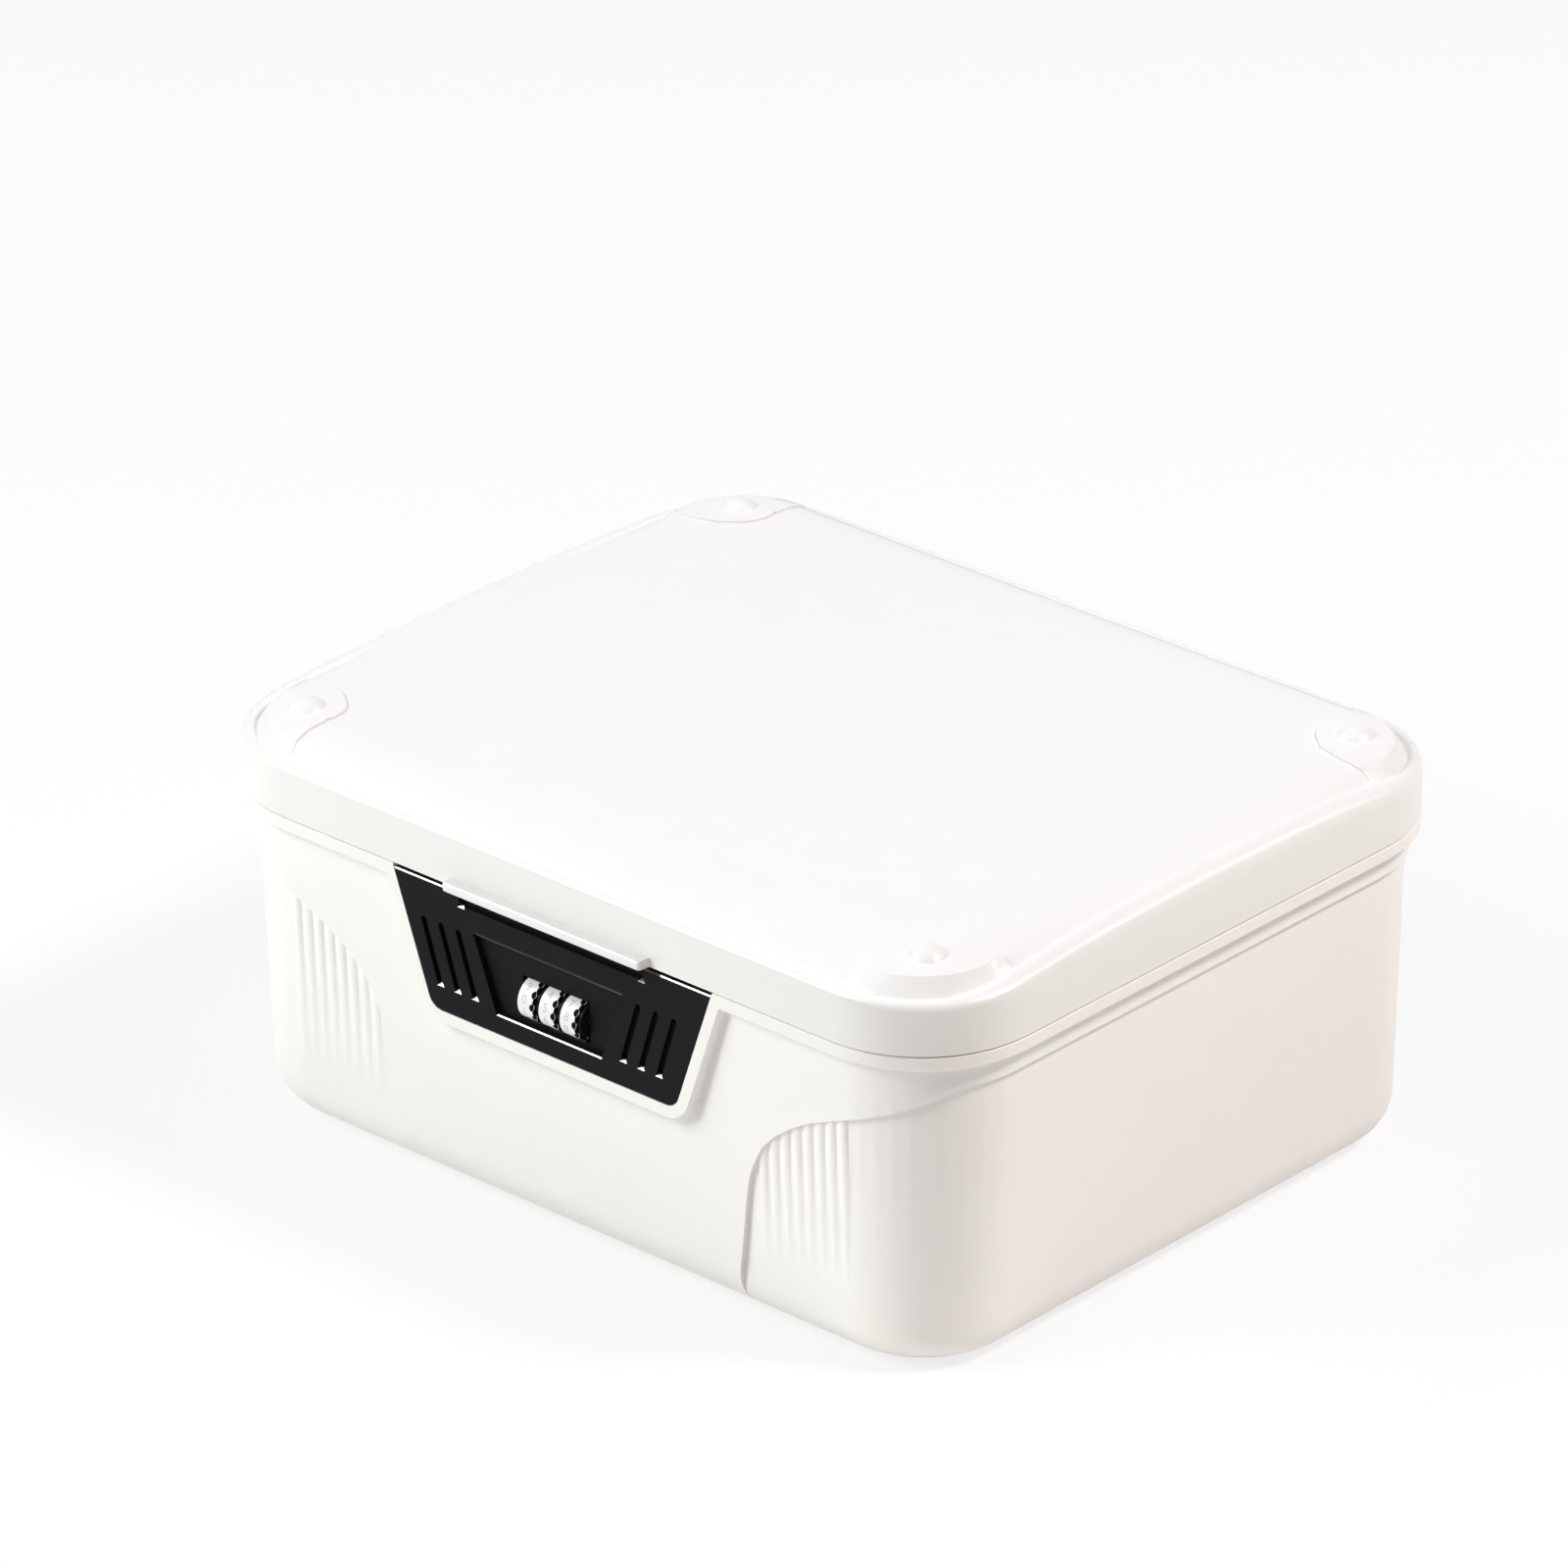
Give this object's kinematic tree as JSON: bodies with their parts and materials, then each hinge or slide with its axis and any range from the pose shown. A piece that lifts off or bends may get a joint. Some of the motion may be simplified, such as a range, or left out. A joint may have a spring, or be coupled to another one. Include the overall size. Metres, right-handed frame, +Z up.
{
  "type": "combination lock box",
  "caption": "Hinged plastic storage box with rounded corners, black front lock panel with turning code dials, sliding latch bolt, pull tab and stacking studs on the lid",
  "frame": {"origin": "middle of the footprint, on the ground", "axes": "front with the lock faces -Y, hinges at +Y, +X to the right seen from the front, +Z up"},
  "size_m": [0.3, 0.2527, 0.1335],
  "materials": {
    "shell_white": "satin",
    "lid_white": "satin",
    "panel_black": "satin",
    "dial_white": "satin",
    "housing_grey": "matt",
    "steel": "satin",
    "brass": "satin",
    "rubber_grey": "matt"
  },
  "bodies": {
    "base": {"base_shell": "shell_white", "lock_panel": "panel_black", "lock_housing": "housing_grey", "lock_cover": "steel", "bolt_spring": "steel", "detent_spring": "brass", "housing_screws": "steel", "cover_screws": "steel", "hinge_pins": "steel", "feet": "rubber_grey"},
    "lid": {"lid_shell": "lid_white", "lid_striker": "steel", "striker_screws": "steel"},
    "dial_1": {"dial_wheel_1": "dial_white", "code_sleeve_1": "housing_grey"},
    "dial_2": {"dial_wheel_2": "dial_white", "code_sleeve_2": "housing_grey"},
    "dial_3": {"dial_wheel_3": "dial_white", "code_sleeve_3": "housing_grey"},
    "bolt": {"latch_bolt": "steel"},
    "reset": {"dial_shaft": "steel", "shaft_clip": "steel", "reset_arm": "housing_grey"}
  },
  "joints": [
    {"name": "lid_hinge", "type": "hinge", "parent": "base", "child": "lid", "pos_m": [0, 0.12335, 0.10765], "axis": [-1, 0, 0], "range_deg": [0, 100]},
    {"name": "dial_1_turn", "type": "hinge", "parent": "base", "child": "dial_1", "pos_m": [-0.0085, -0.11775, 0.0799], "axis": [1, 0, 0], "continuous": true},
    {"name": "dial_2_turn", "type": "hinge", "parent": "base", "child": "dial_2", "pos_m": [0, -0.11775, 0.0799], "axis": [1, 0, 0], "continuous": true},
    {"name": "dial_3_turn", "type": "hinge", "parent": "base", "child": "dial_3", "pos_m": [0.0085, -0.11775, 0.0799], "axis": [1, 0, 0], "continuous": true},
    {"name": "bolt_slide", "type": "slide", "parent": "base", "child": "bolt", "axis": [0, 1, 0], "range_m": [0, 0.0032]},
    {"name": "reset_slide", "type": "slide", "parent": "base", "child": "reset", "axis": [1, 0, 0], "range_m": [0, 0.0025]}
  ]
}
